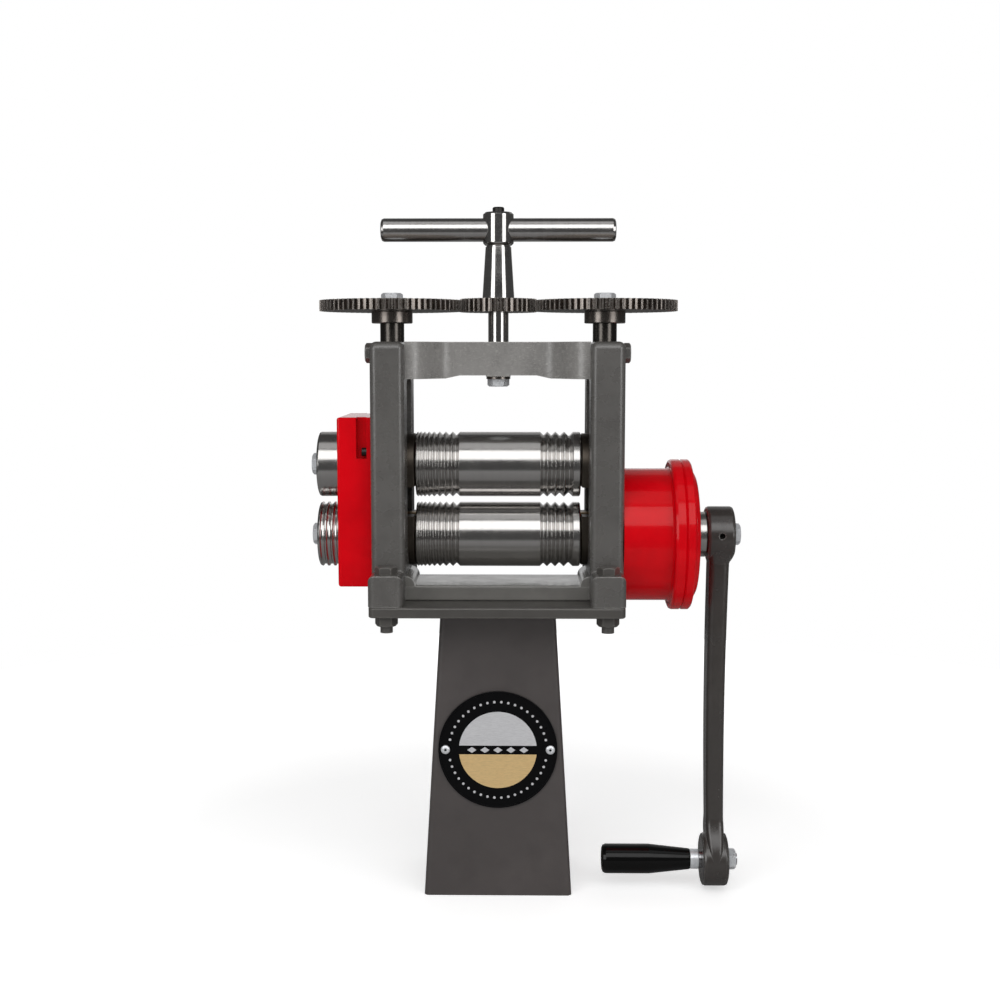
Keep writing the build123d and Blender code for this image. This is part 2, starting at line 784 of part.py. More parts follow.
guard_hole_radius = gear_seat_radius + guard_hole_gap
guard_travel_up = 3.0
guard_travel_down = 9.0
with BuildPart() as gear_guard:
    with BuildSketch(facing_x(-guard_outer_x)):
        with Locations((0, (guard_top + guard_bottom) / 2)):
            Rectangle(2 * guard_half_depth, guard_top - guard_bottom)
    extrude(amount=guard_reach)
    fillet(gear_guard.edges().filter_by(lambda e: e.center().X < -guard_outer_x + 0.01),
           guard_edge_radius)
    with BuildSketch(facing_x(-guard_outer_x + guard_wall)):
        with Locations((0, (guard_top + guard_bottom) / 2)):
            Rectangle(2 * (guard_half_depth - guard_wall), guard_top - guard_bottom - 2 * guard_wall)
    extrude(amount=guard_reach, mode=Mode.SUBTRACT)
    ear_floor = guard_pocket_bottom - guard_wall
    for side in (-1, 1):
        ear_y = side * (guard_half_depth - (guard_pocket_depth + guard_wall) / 2)
        with BuildSketch(facing_x(-frame_outer_x)):
            with Locations((ear_y, (guard_top + ear_floor) / 2)):
                Rectangle(guard_pocket_depth + guard_wall, guard_top - ear_floor)
        extrude(amount=-guard_pocket_width - guard_wall)
        pocket_y = side * (guard_half_depth - guard_pocket_depth / 2)
        with BuildSketch(facing_x(-frame_outer_x - guard_ear_thickness)):
            with Locations((pocket_y, (guard_top + guard_pocket_bottom) / 2)):
                Rectangle(guard_pocket_depth + 0.01, guard_top - guard_pocket_bottom)
        extrude(amount=-(guard_pocket_width - guard_ear_thickness), mode=Mode.SUBTRACT)
    with BuildSketch(facing_x(-guard_outer_x)):
        with Locations((0, lower_axis)):
            Circle(guard_hole_radius)
        with Locations((0, upper_axis + guard_travel_up), (0, upper_axis - guard_travel_down)):
            Circle(guard_hole_radius)
        with Locations((0, upper_axis + (guard_travel_up - guard_travel_down) / 2)):
            Rectangle(2 * guard_hole_radius, guard_travel_up + guard_travel_down)
    extrude(amount=guard_wall, mode=Mode.SUBTRACT)
    with BuildSketch(facing_x(-frame_outer_x)):
        with Locations(*guard_screw_places):
            Circle(socket_m5["radius"] + hole_clearance)
    extrude(amount=-guard_ear_thickness, mode=Mode.SUBTRACT)
save(gear_guard.part, "gear_guard")

guard_screw = socket_screw(socket_m5["radius"], guard_ear_thickness + frame_thickness / 2 - 2,
                           socket_m5["head_radius"], socket_m5["head"], socket_m5["key_flats"])
guard_screw_seat = -frame_outer_x - guard_ear_thickness
save(group(guard_screw, [outward(guard_screw_seat, y, z) for y, z in guard_screw_places]),
     "guard_screws")

# ---------------------------------------------------------------- rolls


def barrel_grooves(grooves):
    """Points of a row of V grooves that widen to the right, between plain lands."""
    points = []
    left = grooves["start"]
    for i in range(grooves["count"]):
        width = grooves["width"] + grooves["step"] * i
        floor_half = width * groove_floor_share / 2
        depth = width * groove_depth_share
        middle = left + width / 2
        points.append((left, roll_radius))
        points.append((middle - floor_half, roll_radius - depth))
        points.append((middle + floor_half, roll_radius - depth))
        points.append((left + width, roll_radius))
        left += width + grooves["land"]
    return points


def roll_outline(shaft):
    """Outline of a roll: left shaft end, journal, grooved barrel, then the right shaft end."""
    left_end = -shaft_end_x
    barrel = roll_half_length
    points = [
        (left_end, 0),
        (left_end, side_roll_seat_radius),
        (-guard_outer_x, side_roll_seat_radius),
        (-guard_outer_x, gear_seat_radius),
        (-sync_inner_x, gear_seat_radius),
        (-sync_inner_x, journal_radius),
        (-barrel, journal_radius),
        (-barrel, roll_radius - roll_edge_chamfer),
        (-barrel + roll_edge_chamfer, roll_radius),
    ]
    points += barrel_grooves(left_grooves)
    points += barrel_grooves(right_grooves)
    points += [
        (barrel - roll_edge_chamfer, roll_radius),
        (barrel, roll_radius - roll_edge_chamfer),
        (barrel, journal_radius),
    ]
    return points + shaft


carrier_seat_radius = gear_seat_radius
upper_right_shaft = [(chock_outer_x, journal_radius), (chock_outer_x, 0)]
lower_right_shaft = [
    (carrier_inner_x - body_gap, journal_radius),
    (carrier_inner_x - body_gap, carrier_seat_radius),
    (carrier_inner_x + carrier_plate, carrier_seat_radius),
    (carrier_inner_x + carrier_plate, 0),
]
end_bolt_hole = 22.0


def roll(axis, right_shaft):
    """Roll with both shaft ends and the tapped hole for its side roll's bolt."""
    with BuildPart() as steel:
        add(turned(along_x(axis), roll_outline(right_shaft)))
        with BuildSketch(facing_x(-shaft_end_x, axis)):
            Circle(bolt_m12["radius"])
        extrude(amount=end_bolt_hole, mode=Mode.SUBTRACT)
    return steel.part


save(roll(lower_axis, lower_right_shaft), "lower_roll")
save(roll(upper_axis, upper_right_shaft), "upper_roll")

# Side rolls: plain above, three half-round grooves below
side_roll_middle = -(side_roll_inner_x + side_roll_outer_x) / 2


def side_roll_outline(grooves):
    """Outline of a side roll with its end wall, from the outer face to the guard."""
    points = [
        (-side_roll_outer_x, bolt_m12["radius"] + hole_clearance),
        (-side_roll_outer_x, roll_radius - side_roll_edge),
        (-side_roll_outer_x + side_roll_edge * 0.3, roll_radius - side_roll_edge * 0.3),
        (-side_roll_outer_x + side_roll_edge, roll_radius),
    ]
    arc_steps = 6
    for i in range(grooves):
        middle = side_roll_middle + side_groove_pitch * (i - (grooves - 1) / 2)
        for step in range(arc_steps + 1):
            angle = pi * step / arc_steps
            points.append((middle - side_groove_width / 2 * cos(angle),
                           roll_radius - side_groove_depth * sin(angle)))
    points += [
        (-side_roll_inner_x - side_roll_edge * 0.4, roll_radius),
        (-side_roll_inner_x, roll_radius - side_roll_edge * 0.4),
        (-side_roll_inner_x, side_roll_seat_radius),
        (-shaft_end_x, side_roll_seat_radius),
        (-shaft_end_x, bolt_m12["radius"] + hole_clearance),
    ]
    return points


side_bolt = hex_head(bolt_m12["radius"], side_roll_end_wall + end_bolt_hole - 3,
                     bolt_m12["flats"], bolt_m12["head"])
for level, axis, grooves in (("lower", lower_axis, side_groove_count), ("upper", upper_axis, 0)):
    save(turned(along_x(axis), side_roll_outline(grooves)), f"{level}_side_roll")
    save(group(side_bolt, [outward(-side_roll_outer_x, 0, axis)]), f"{level}_side_roll_bolt")

# Synchronising gears: one tooth of the lower gear points up into a gap of the upper one
sync_addendum = sync_module
sync_dedendum = 1.25 * sync_module
for level, axis, tooth_at in (
    ("lower", lower_axis, pi / 2),
    ("upper", upper_axis, -pi / 2 + pi / sync_teeth),
):
    outline = gear_points(sync_teeth, sync_module, sync_addendum, sync_dedendum, sync_backlash,
                          sync_pressure_angle, tooth_at)
    gear = gear_blank(facing_x(-sync_outer_x, axis), outline, sync_face, gear_seat_radius)
    save(gear, f"{level}_sync_gear")

# ---------------------------------------------------------------- planetary gearbox

gearbox_screw_places = [(y, z) for y in (-gearbox_screw_y, gearbox_screw_y)
                        for z in (-gearbox_screw_z, gearbox_screw_z)]
inner_radius = ring_outer_radius
cap_spigot = 4.0
cap_spigot_radius = inner_radius - running_fit
flange_edge = 3.0
flange_root = gearbox_radius + 1.5
body_outline = [
    (frame_outer_x, journal_radius + hole_clearance),
    (frame_outer_x, gearbox_radius),
    (gearbox_rim_x - gearbox_flange_length - 1.5, gearbox_radius),
    (gearbox_rim_x - gearbox_flange_length, flange_root),
    (gearbox_rim_x - gearbox_flange_length, gearbox_flange_radius - flange_edge),
    (gearbox_rim_x - gearbox_flange_length + flange_edge * 0.3,
     gearbox_flange_radius - flange_edge * 0.3),
    (gearbox_rim_x - gearbox_flange_length + flange_edge, gearbox_flange_radius),
    (gearbox_rim_x - 1.4, gearbox_flange_radius),
    (gearbox_rim_x, gearbox_flange_radius - 1.4),
    (gearbox_rim_x, inner_radius),
    (gearbox_floor_x, inner_radius),
    (gearbox_floor_x, journal_radius + hole_clearance),
]
with BuildPart() as gearbox_body:
    add(turned(along_x(lower_axis), body_outline))
    with BuildSketch(facing_x(frame_outer_x, lower_axis)):
        with Locations(*gearbox_screw_places):
            Circle(socket_m8["radius"] + hole_clearance)
    extrude(amount=gearbox_back_wall, mode=Mode.SUBTRACT)
    with BuildSketch(facing_x(gearbox_rim_x, lower_axis)):
        with PolarLocations((inner_radius + gearbox_flange_radius) / 2, cap_screw_count,
                            start_angle=30):
            Circle(socket_m5["radius"])
    extrude(amount=-gearbox_flange_length + 1.5, mode=Mode.SUBTRACT)
save(gearbox_body.part, "gearbox_body")

gearbox_screw = socket_screw(socket_m8["radius"], gearbox_back_wall + frame_thickness / 2,
                             socket_m8["head_radius"], socket_m8["head"], socket_m8["key_flats"])
save(group(gearbox_screw, [outward(gearbox_floor_x, y, lower_axis + z)
                           for y, z in gearbox_screw_places]), "gearbox_screws")

cap_bush_radius = crank_shaft_radius + bush_wall
cap_inner_radius = cap_radius - cap_wall
cap_hub_x = cap_face_x - cap_hub_length
cap_outline = [
    (gearbox_rim_x - cap_spigot, cap_inner_radius - 2),
    (gearbox_rim_x - cap_spigot, cap_spigot_radius),
    (gearbox_rim_x, cap_spigot_radius),
    (gearbox_rim_x, gearbox_flange_radius - 1.4),
    (gearbox_rim_x + 1.4, gearbox_flange_radius),
    (cap_flange_x - 1.6, gearbox_flange_radius),
    (cap_flange_x, gearbox_flange_radius - 1.6),
    (cap_flange_x, cap_radius),
    (cap_face_x - cap_nose * 0.65, cap_radius - 0.3),
    (cap_face_x - cap_nose * 0.25, cap_radius - 1.8),
    (cap_face_x, cap_radius - 4.5),
    (cap_face_x, cap_bush_radius),
    (cap_hub_x, cap_bush_radius),
    (cap_hub_x, cap_hub_radius),
    (cap_face_x - cap_wall, cap_hub_radius),
    (cap_face_x - cap_wall, cap_inner_radius - 2),
]
with BuildPart() as gearbox_cap:
    add(turned(along_x(lower_axis), cap_outline))
    with BuildSketch(facing_x(cap_flange_x, lower_axis)):
        with PolarLocations((inner_radius + gearbox_flange_radius) / 2, cap_screw_count,
                            start_angle=30):
            Circle(socket_m5["radius"] + hole_clearance / 2)
    extrude(amount=-cap_flange_length, mode=Mode.SUBTRACT)
    with BuildSketch(facing_x(cap_flange_x, lower_axis)):
        with PolarLocations((inner_radius + gearbox_flange_radius) / 2, cap_screw_count,
                            start_angle=30):
            Circle(socket_m5["head_radius"] + hole_clearance / 2)
    extrude(amount=-socket_m5["head"], mode=Mode.SUBTRACT)
save(gearbox_cap.part, "gearbox_cap")

cap_screw = socket_screw(socket_m5["radius"], cap_flange_length - socket_m5["head"] + 7,
                         socket_m5["head_radius"], socket_m5["head"], socket_m5["key_flats"])
screw_circle = (inner_radius + gearbox_flange_radius) / 2
cap_screw_places = []
for i in range(cap_screw_count):
    turn = radians(30 + 360 * i / cap_screw_count)
    cap_screw_places.append(outward(cap_flange_x - socket_m5["head"], screw_circle * cos(turn),
                                    lower_axis + screw_circle * sin(turn)))
save(group(cap_screw, cap_screw_places), "cap_screws")

save(turned(along_x(lower_axis), ring_points(cap_hub_x, cap_face_x, crank_shaft_radius + running_fit,
                                             cap_bush_radius)), "cap_bush")

# The ring's gaps are cut to the outline of a slightly fat gear of the same number of teeth
ring_gap_points = gear_points(ring_teeth, planet_module, 1.25 * planet_module, planet_module,
                              -tooth_backlash, pressure_angle, pi / 2 + pi / ring_teeth)
with BuildPart() as ring_gear:
    with BuildSketch(facing_x(planet_inner_x, lower_axis)):
        Circle(ring_outer_radius)
        with BuildLine():
            Polyline(*ring_gap_points, close=True)
        make_face(mode=Mode.SUBTRACT)
    extrude(amount=planet_face)
save(ring_gear.part, "ring_gear")

planet_turns = [pi / 2 + 2 * pi * i / planet_count for i in range(planet_count)]
planet_points = gear_points(planet_teeth, planet_module, planet_module, 1.25 * planet_module,
                            tooth_backlash, pressure_angle, pi / 2 + pi / planet_teeth)
for number, turn in enumerate(planet_turns, start=1):
    planet_plane = Plane(origin=(planet_inner_x, planet_orbit * cos(turn),
                                 lower_axis + planet_orbit * sin(turn)),
                         x_dir=(0, 1, 0), z_dir=(1, 0, 0))
    save(gear_blank(planet_plane, planet_points, planet_face, planet_pin_radius + running_fit),
         f"planet_gear_{number}")

# Planet carrier: two plates joined by the planets' pins and by webs between the planets
carrier_radius = planet_orbit + planet_pin_radius + 3.5
sun_gap_radius = crank_shaft_radius + 2.0
web_radius = 6.0
with BuildPart() as planet_carrier:
    for start, thickness, bore in (
        (carrier_inner_x, carrier_plate, carrier_seat_radius),
        (planet_outer_x + body_gap, carrier_front_plate, sun_gap_radius),
    ):
        with BuildSketch(facing_x(start, lower_axis)):
            Circle(carrier_radius)
            Circle(bore, mode=Mode.SUBTRACT)
        extrude(amount=thickness)
    with BuildSketch(facing_x(carrier_inner_x + carrier_plate, lower_axis)):
        with PolarLocations(planet_orbit, planet_count, start_angle=90):
            Circle(planet_pin_radius)
    extrude(amount=planet_face + 2 * body_gap)
    with BuildSketch(facing_x(carrier_inner_x + carrier_plate, lower_axis)):
        with PolarLocations(planet_orbit + 1.5, planet_count, start_angle=90 + 180 / planet_count):
            Circle(web_radius)
    extrude(amount=planet_face + 2 * body_gap)
save(planet_carrier.part, "planet_carrier")

# ---------------------------------------------------------------- crank

shaft_start_x = planet_inner_x
crank_shaft_end_x = crank_boss_end_x - 2.0
sun_points = gear_points(sun_teeth, planet_module, planet_module, 1.25 * planet_module,
                         tooth_backlash, pressure_angle, pi / 2)
with BuildPart() as crank_shaft:
    add(turned(along_x(lower_axis), [
        (shaft_start_x, 0),
        (shaft_start_x, sun_seat_radius),
        (planet_outer_x, sun_seat_radius),
        (planet_outer_x, crank_shaft_radius),
        (crank_shaft_end_x, crank_shaft_radius),
        (crank_shaft_end_x, 0),
    ]))
    with BuildSketch(facing_x(planet_inner_x, lower_axis)):
        with BuildLine():
            Polyline(*sun_points, close=True)
        make_face()
    extrude(amount=planet_face)
    with BuildSketch(facing_x(crank_shaft_end_x, lower_axis)):
        Circle(bolt_m12["radius"])
    extrude(amount=-end_bolt_hole, mode=Mode.SUBTRACT)
save(crank_shaft.part, "crank_shaft")

save(turned(along_x(lower_axis), ring_points(cap_face_x + body_gap, collar_end_x, crank_shaft_radius,
                                             crank_collar_radius, 0.8)), "crank_collar")

crank_middle_x = collar_end_x + crank_boss_width / 2
grip_boss_middle_x = crank_middle_x - crank_foot_inset


def swung(piece):
    """Piece of the crank, turned with it from hanging straight to where it rests."""
    return piece.rotate(Axis((0, 0, lower_axis), (1, 0, 0)), -crank_rest_swing)


def boss(middle, axis, radius, width):
    """Turned boss of the crank with rounded rims."""
    start = middle - width / 2
    end = middle + width / 2
    return turned(along_x(axis), [
        (start, 0),
        (start, radius - crank_boss_edge),
        (start + crank_boss_edge * 0.3, radius - crank_boss_edge * 0.3),
        (start + crank_boss_edge, radius),
        (end - crank_boss_edge, radius),
        (end - crank_boss_edge * 0.3, radius - crank_boss_edge * 0.3),
        (end, radius - crank_boss_edge),
        (end, 0),
    ])


def arm_section(height, width, depth):
    """One rounded cross-section of the crank arm, which bows a little between its bosses."""
    share = (lower_axis - height) / crank_radius
    shift = -crank_arm_bow * sin(pi * share) - crank_foot_inset * share
    with BuildSketch(Plane(origin=(crank_middle_x + shift, 0, height))) as section:
        RectangleRounded(width, depth, width * crank_arm_corner)
    return section.sketch


arm_start = lower_axis - crank_neck_end
arm_end = crank_grip_axis + crank_flare_height
arm_levels = 5
neck_depth = 2 * sqrt(crank_boss_radius ** 2 - crank_neck_start ** 2)
with BuildPart() as crank_arm:
    add(boss(crank_middle_x, lower_axis, crank_boss_radius, crank_boss_width))
    # Lower corners of the upper boss, cut to the slope of the neck
    with BuildSketch(facing_user(0, lower_axis)):
        for side in (-1, 1):
            boss_side = crank_middle_x + side * crank_boss_width / 2
            clear_side = boss_side + side * crank_boss_edge
            arm_side = crank_middle_x + side * crank_arm_top[0] / 2
            with BuildLine():
                Polyline(
                    (boss_side, -crank_neck_start),
                    (clear_side, -crank_neck_start),
                    (clear_side, -crank_neck_end - crank_boss_edge),
                    (arm_side, -crank_neck_end - crank_boss_edge),
                    (arm_side, -crank_neck_end),
                    close=True,
                )
            make_face()
    extrude(amount=crank_boss_radius, both=True, mode=Mode.SUBTRACT)
    loft([
        arm_section(lower_axis - crank_neck_start, crank_boss_width - 2 * crank_neck_inset, neck_depth),
        arm_section(arm_start, crank_arm_top[0], crank_arm_top[1]),
    ])
    sections = []
    for i in range(arm_levels):
        share = i / (arm_levels - 1)
        sections.append(arm_section(
            arm_start + (arm_end - arm_start) * share,
            crank_arm_top[0] + (crank_arm_foot[0] - crank_arm_top[0]) * share,
            crank_arm_top[1] + (crank_arm_foot[1] - crank_arm_top[1]) * share,
        ))
    loft(sections)
    # The arm flares towards the user and runs out in a V over the lower boss
    sections = [arm_section(arm_end, crank_arm_foot[0], crank_arm_foot[1])]
    for height, width, depth in crank_flare:
        sections.append(arm_section(crank_grip_axis + height, width, depth))
    loft(sections)
    add(boss(grip_boss_middle_x, crank_grip_axis, crank_grip_boss_radius, crank_grip_boss_width))
    with BuildSketch(facing_x(collar_end_x - 1, lower_axis)):
        Circle(crank_shaft_radius)
    extrude(amount=crank_shaft_end_x - collar_end_x + 1, mode=Mode.SUBTRACT)
    with BuildSketch(facing_x(collar_end_x - 1, lower_axis)):
        Circle(bolt_m12["radius"] + hole_clearance)
    extrude(amount=crank_boss_width + 2, mode=Mode.SUBTRACT)
    with BuildSketch(facing_x(grip_boss_middle_x, crank_grip_axis)):
        Circle(grip_spindle_radius)
    extrude(amount=crank_grip_boss_width, both=True, mode=Mode.SUBTRACT)
    with BuildSketch(facing_user(0, lower_axis)):
        with Locations((crank_middle_x, 0)):
            Circle(crank_set_screw_radius)
    extrude(amount=crank_boss_radius + 1, mode=Mode.SUBTRACT)
save(swung(crank_arm.part), "crank_arm")

set_screw_end = -crank_shaft_radius
set_screw_length = 9.0
with BuildPart() as crank_set_screw:
    with BuildSketch(facing_user(set_screw_end, lower_axis)):
        with Locations((crank_middle_x, 0)):
            Circle(crank_set_screw_radius)
    extrude(amount=set_screw_length)
    with BuildSketch(facing_user(set_screw_end - set_screw_length, lower_axis)):
        with Locations((crank_middle_x, 0)):
            RegularPolygon(radius=crank_set_screw_socket, side_count=6, major_radius=False)
    extrude(amount=-4.0, mode=Mode.SUBTRACT)
save(swung(crank_set_screw.part), "crank_set_screw")

crank_bolt = hex_head(bolt_m12["radius"], crank_boss_end_x - crank_shaft_end_x + end_bolt_hole - 3,
                      bolt_m12["flats"], bolt_m12["head"])
save(group(crank_bolt, [outward(crank_boss_end_x, 0, lower_axis)]), "crank_end_bolt")

# Revolving grip: it points back over the mill on a spindle fixed in the lower boss
grip_boss_start = grip_boss_middle_x - crank_grip_boss_width / 2
grip_boss_end = grip_boss_middle_x + crank_grip_boss_width / 2
spindle_collar = 2.5
spindle_collar_radius = 9.0
ferrule_start = grip_boss_start - spindle_collar - body_gap - ferrule_length
grip_end = ferrule_start
grip_start = grip_end - grip_length
spindle_head_depth = 6.0
spindle_head_radius = 8.5
spindle_tip_x = grip_start + spindle_head_depth
nut_end = grip_boss_end + grip_nut_height
with BuildPart() as grip_spindle:
    add(turned(along_x(crank_grip_axis), [
        (spindle_tip_x, 0),
        (spindle_tip_x, spindle_head_radius),
        (spindle_tip_x + 4, spindle_head_radius),
        (spindle_tip_x + 4, grip_spindle_radius),
        (grip_boss_start - spindle_collar, grip_spindle_radius),
        (grip_boss_start - spindle_collar, spindle_collar_radius),
        (grip_boss_start, spindle_collar_radius),
        (grip_boss_start, grip_spindle_radius),
        (nut_end + 1.5, grip_spindle_radius),
        (nut_end + 1.5, 0),
    ]))
save(swung(grip_spindle.part), "grip_spindle")
grip_nut = hex_nut(grip_spindle_radius, bolt_m12["flats"], grip_nut_height)
save(swung(group(grip_nut, [outward(grip_boss_end, 0, crank_grip_axis)])), "grip_nut")

grip_bore = grip_spindle_radius + running_fit
grip_counterbore = spindle_head_radius + body_gap
save(swung(turned(along_x(crank_grip_axis), [
    (grip_start, grip_counterbore),
    (grip_start, grip_radius - grip_end_round),
    (grip_start + grip_end_round * 0.3, grip_radius - grip_end_round * 0.3),
    (grip_start + grip_end_round, grip_radius),
    (grip_start + grip_straight, grip_radius),
    (grip_end - 1, grip_neck_radius),
    (grip_end, grip_neck_radius - 0.6),
    (grip_end, grip_bore),
    (spindle_tip_x + 4 + body_gap, grip_bore),
    (spindle_tip_x + 4 + body_gap, grip_counterbore),
])), "handle_grip")
ferrule_outline = ring_points(ferrule_start, ferrule_start + ferrule_length, grip_bore,
                              ferrule_radius, 0.5)
save(swung(turned(along_x(crank_grip_axis), ferrule_outline)), "grip_ferrule")

# ---------------------------------------------------------------- screw-down gear

gear_seat_z = big_gear_top
screw_spigot_radius = 8.0
big_points = gear_points(big_gear_teeth, adjuster_module, adjuster_module, 1.25 * adjuster_module,
                         tooth_backlash, pressure_angle, pi / big_gear_teeth)
for side, x in (("left", -frame_centre_x), ("right", frame_centre_x)):
    with BuildPart() as adjusting_screw:
        add(turned(along_z(x), [
            (screw_foot, 0),
            (screw_foot, screw_radius - 1.0),
            (screw_foot + 1.0, screw_radius),
            (hub_bottom, screw_radius),
            (hub_bottom, screw_spigot_radius),
            (gear_seat_z, screw_spigot_radius),
            (gear_seat_z, 0),
        ]))
        with BuildSketch(Plane.XY.offset(gear_seat_z)):
            with Locations((x, 0)):
                Circle(bolt_m12["radius"])
        extrude(amount=-end_bolt_hole, mode=Mode.SUBTRACT)
    save(adjusting_screw.part, f"adjusting_screw_{side}")

    with BuildPart() as big_gear:
        big_plane = Plane(origin=(x, 0, big_gear_bottom))
        add(gear_blank(big_plane, big_points, big_gear_face, screw_spigot_radius))
        add(turned(along_z(x), ring_points(hub_bottom, big_gear_bottom, screw_spigot_radius,
                                           gear_hub_radius, 0.8)))
    save(big_gear.part, f"adjuster_gear_{side}")

    gear_bolt = hex_head(bolt_m12["radius"], end_bolt_hole - 3, bolt_m12["flats"], bolt_m12["head"])
    save(group(gear_bolt, [upward(x, 0, gear_seat_z)]), f"adjuster_gear_bolt_{side}")

# T-handle: spindle through the tie bar, pinion, turned column and cross bar
spindle_foot = tie_bar_bottom + tie_bar_arch - spindle_boss_drop - body_gap
pinion_points = gear_points(pinion_teeth, adjuster_module, adjuster_module, 1.25 * adjuster_module,
                            tooth_backlash, pressure_angle, 0.0)
save(gear_blank(Plane.XY.offset(pinion_bottom), pinion_points, pinion_face, spindle_radius),
     "adjuster_pinion")

with BuildPart() as handle_column:
    add(turned(along_z(0), [
        (spindle_foot, 0),
        (spindle_foot, spindle_radius),
        (pinion_top, spindle_radius),
        (pinion_top, cone_foot_radius),
        (cone_top, cone_top_radius),
        (cone_top + 0.2, cone_top_radius - handle_groove),
        (cone_top + 1.2, cone_top_radius - handle_groove),
        (cone_top + 1.4, cone_top_radius),
        (handle_hub_bottom, handle_hub_radius - 0.6),
        (handle_hub_bottom + 1.2, handle_hub_radius),
        (handle_hub_top - 2.0, handle_hub_radius),
        (handle_hub_top, handle_hub_radius - 2.0),
        (handle_hub_top, 0),
    ]))
    with BuildSketch(facing_x(-handle_hub_radius - 1, handle_bar_axis)):
        Circle(handle_bar_radius)
    extrude(amount=2 * handle_hub_radius + 2, mode=Mode.SUBTRACT)
    with BuildSketch(Plane.XY.offset(handle_bar_axis)):
        Circle(socket_m8["radius"])
    extrude(amount=handle_hub_height, mode=Mode.SUBTRACT)
    with BuildSketch(Plane.XY.offset(spindle_foot)):
        Circle(bolt_m12["radius"])
    extrude(amount=end_bolt_hole, mode=Mode.SUBTRACT)
save(handle_column.part, "handle_column")

bar_end = handle_bar_length / 2
save(turned(along_x(handle_bar_axis), [
    (-bar_end, 0),
    (-bar_end, handle_bar_radius - handle_bar_end_round),
    (-bar_end + handle_bar_end_round * 0.3, handle_bar_radius - handle_bar_end_round * 0.3),
    (-bar_end + handle_bar_end_round, handle_bar_radius),
    (bar_end - handle_bar_end_round, handle_bar_radius),
    (bar_end - handle_bar_end_round * 0.3, handle_bar_radius - handle_bar_end_round * 0.3),
    (bar_end, handle_bar_radius - handle_bar_end_round),
    (bar_end, 0),
]), "handle_bar")

lock_screw_foot = handle_bar_axis + handle_bar_radius
lock_screw_top = handle_hub_top + lock_screw_height
save(turned(along_z(0), [
    (lock_screw_foot, 0),
    (lock_screw_foot, socket_m8["radius"]),
    (handle_hub_top, socket_m8["radius"]),
    (handle_hub_top, lock_screw_head_radius),
    (lock_screw_top - 1, lock_screw_head_radius),
    (lock_screw_top, lock_screw_head_radius - 1),
    (lock_screw_top, 0),
]), "handle_lock_screw")

spindle_bolt = hex_head(bolt_m12["radius"], end_bolt_hole - 2 + spindle_washer_thickness,
                        bolt_m12["flats"], bolt_m12["head"])
spindle_seat = spindle_foot - spindle_washer_thickness
save(group(spindle_bolt, [downward(0, 0, spindle_seat)]), "spindle_bolt")
save(turned(along_z(0), ring_points(spindle_seat, spindle_foot, bolt_m12["radius"] + hole_clearance,
                                    spindle_washer_radius)), "spindle_washer")
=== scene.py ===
from math import asin, cos, degrees, pi, radians, sin

import bmesh
import bpy
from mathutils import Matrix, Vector


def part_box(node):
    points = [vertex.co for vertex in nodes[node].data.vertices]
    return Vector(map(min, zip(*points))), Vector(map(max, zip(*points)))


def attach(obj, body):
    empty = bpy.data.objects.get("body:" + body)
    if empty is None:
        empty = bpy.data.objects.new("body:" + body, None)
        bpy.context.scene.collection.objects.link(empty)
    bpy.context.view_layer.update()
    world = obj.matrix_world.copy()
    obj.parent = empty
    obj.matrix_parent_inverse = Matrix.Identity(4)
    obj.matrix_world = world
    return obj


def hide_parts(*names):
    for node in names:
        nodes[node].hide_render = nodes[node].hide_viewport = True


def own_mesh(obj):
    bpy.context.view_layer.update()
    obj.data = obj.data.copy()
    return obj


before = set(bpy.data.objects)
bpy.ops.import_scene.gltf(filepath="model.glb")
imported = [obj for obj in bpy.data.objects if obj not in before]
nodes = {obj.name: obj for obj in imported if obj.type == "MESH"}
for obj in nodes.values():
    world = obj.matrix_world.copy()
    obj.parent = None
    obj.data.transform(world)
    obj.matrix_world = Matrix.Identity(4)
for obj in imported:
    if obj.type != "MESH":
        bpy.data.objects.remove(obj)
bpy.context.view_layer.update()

# ---------------------------------------------------------------- sizes and places, in metres

mm = 0.001


def middle(node, axis):
    """Middle of a CAD node's box along one axis."""
    low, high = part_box(node)
    return (low[axis] + high[axis]) / 2


badge_centre = Vector((middle("badge_plate", 0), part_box("badge_plate")[0][1],
                       middle("badge_plate", 2)))

# Camera: the photo's viewpoint, a little above the T-handle and tilted down
camera_place = (20.5 * mm, -1406.3 * mm, 546.5 * mm)
camera_tilt = radians(6)
camera_turn = radians(0.77)
camera_lens = 50.4
sensor_width = 36.0

# Light. The backdrop's edge is the share of the view direction that points away from the camera,
# and the horizon is the share that points up.
ambient_strength = 0.30
room_reflection = 0.07
backdrop_reflection = 0.85
backdrop_edge = (0.93, 0.97)
horizon = (-0.04, 0.0)

# Badge emblem
emblem_radius = 39 * mm
emblem_band = 9 * mm
emblem_relief = 0.25 * mm
emblem_seat = 0.1 * mm
half_disc_steps = 48
lozenge_pitch = 13 * mm
lozenge_half_width = 4.6 * mm
lozenge_half_height = 3.0 * mm
dot_ring_radius = 49 * mm
dot_radius = 1.3 * mm
dot_steps = 16
dot_count = 44
dot_free_angle = 12

# Floor
floor_radius = 1.3
floor_fade_start = 0.4
floor_fade_end = 1.25
floor_glow_near = 0.52
floor_edge_corners = 96
floor_mirrored_share = 0.08
mirrored_floor = (0.22, 0.22, 0.22)


# ---------------------------------------------------------------- helpers


def add_node(tree, kind, inputs=(), **settings):
    """Adds a node, with its inputs set to values or linked to sockets."""
    node = tree.nodes.new(kind)
    for setting, value in settings.items():
        setattr(node, setting, value)
    for socket, value in dict(inputs).items():
        if isinstance(value, bpy.types.NodeSocket):
            tree.links.new(value, node.inputs[socket])
        else:
            node.inputs[socket].default_value = value
    return node


